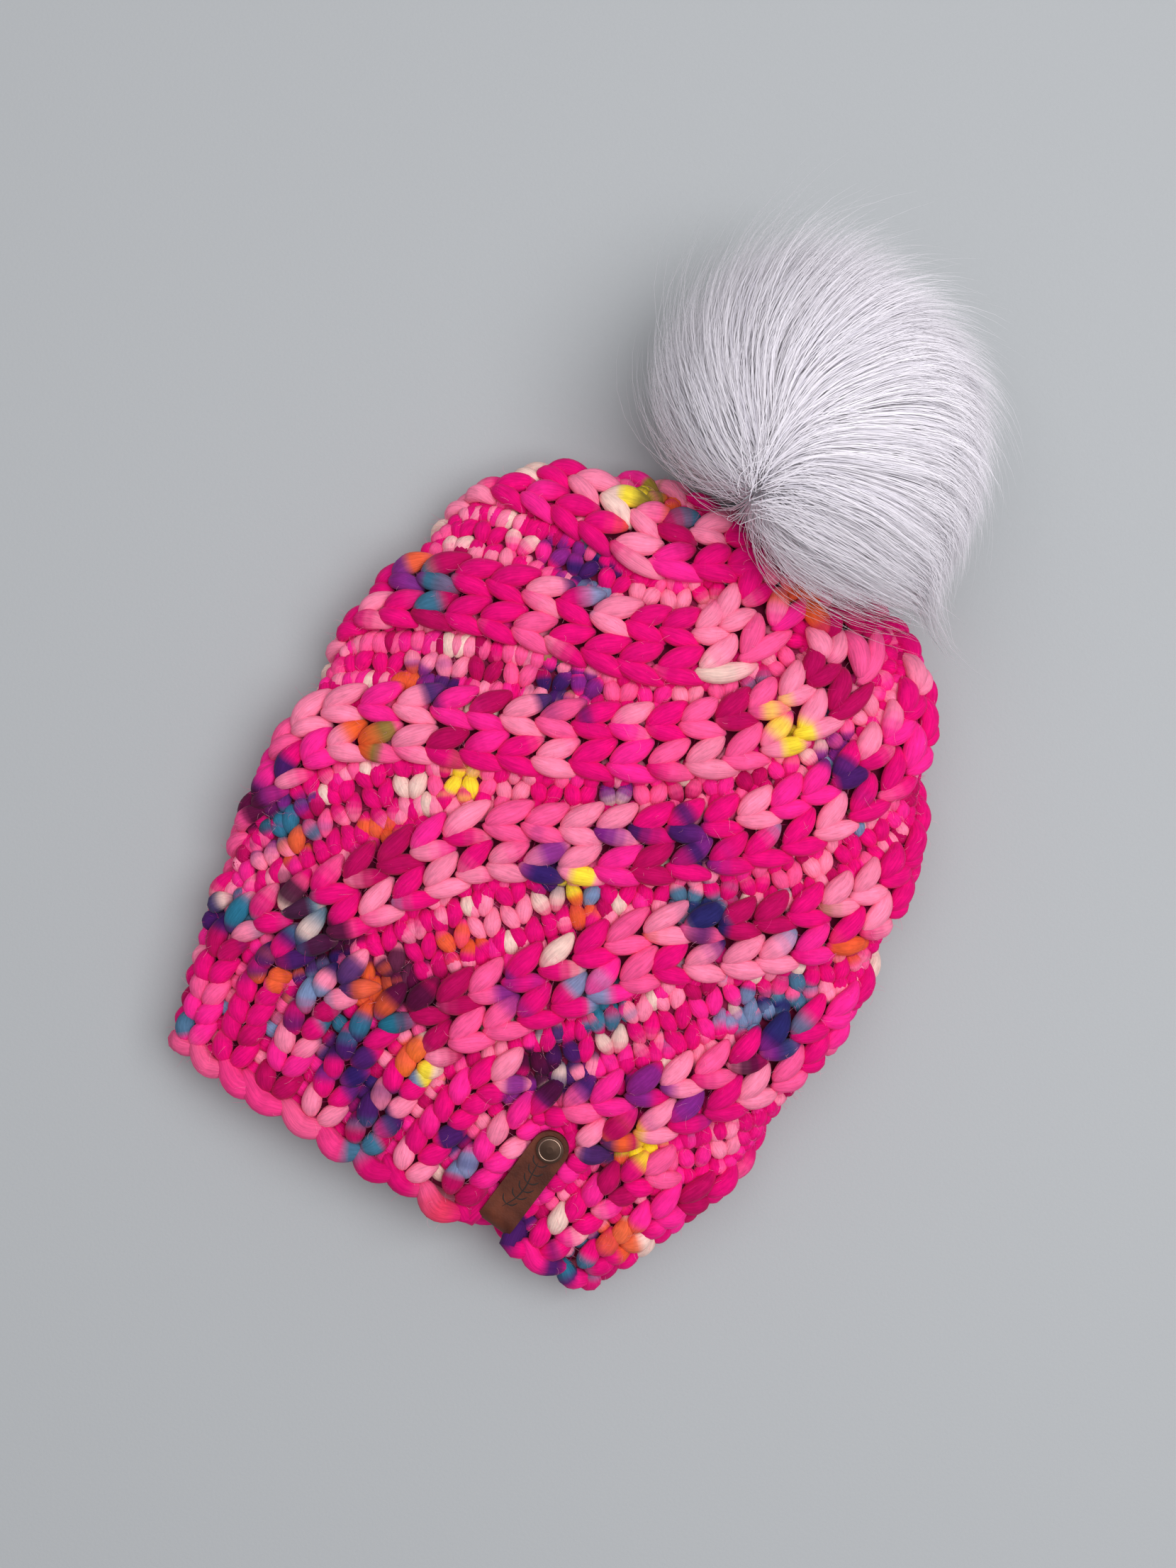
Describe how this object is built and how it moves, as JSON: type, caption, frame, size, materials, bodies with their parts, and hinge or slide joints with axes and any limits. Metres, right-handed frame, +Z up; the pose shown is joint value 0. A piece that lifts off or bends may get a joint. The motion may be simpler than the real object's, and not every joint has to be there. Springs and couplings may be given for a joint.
{
  "type": "pom pom beanie",
  "caption": "Super-chunky hand-knit beanie with spiral raised ribs, ribbed brim, snap-fastened white faux-fur pom pom and a riveted leather tag.",
  "frame": {"origin": "bottom centre of the whole hat's box, on the surface that the hat's back lies on", "axes": "+Y from the brim's edge towards the crown and pom pom, +Z up from the surface, +X to the right when the hat is seen from above with its crown away from the viewer"},
  "size_m": [0.224, 0.3555, 0.108],
  "materials": {
    "yarn": "soft, fuzzy, space-dyed wool-blend yarn",
    "thread": "waxed polyester thread",
    "fur": "long-haired white faux fur",
    "stuffing": "polyester fibre",
    "felt": "pressed felt",
    "leather": "dark brown, smooth-grained, semi-matt",
    "snap_metal": "nickel-plated",
    "rivet_metal": "antique bronze, worn bright at the rim"
  },
  "bodies": {
    "hat": {"knit_shell": "yarn", "crown_drawstring": "yarn", "leather_tag": "leather", "rivet_cap": "rivet_metal", "rivet_post": "rivet_metal"},
    "shank": {"socket_thread": "thread"},
    "socket": {"snap_socket": "snap_metal"},
    "spring": {"snap_spring": "snap_metal"},
    "pom": {"snap_stud": "snap_metal", "stud_thread": "thread", "pom_backing": "felt", "pom_gather_thread": "thread", "pom_fill": "stuffing", "pom_fur": "fur"}
  },
  "joints": [
    {"name": "pom_sway", "type": "hinge", "parent": "hat", "child": "shank", "pos_m": [0.01, 0.07724, 0.0238], "axis": [0, 0, 1], "range_deg": [-18, 18]},
    {"name": "pom_nod", "type": "hinge", "parent": "shank", "child": "socket", "pos_m": [0.01, 0.07724, 0.0238], "axis": [0.9622, 0.2723, 0], "range_deg": [-12, 30]},
    {"name": "pom_swivel", "type": "hinge", "parent": "socket", "child": "spring", "pos_m": [0.01, 0.07724, 0.0238], "axis": [-0.2309, 0.816, 0.5299], "continuous": true},
    {"name": "pom_unsnap", "type": "slide", "parent": "spring", "child": "pom", "axis": [-0.2309, 0.816, 0.5299], "range_m": [0, 0.03]}
  ]
}
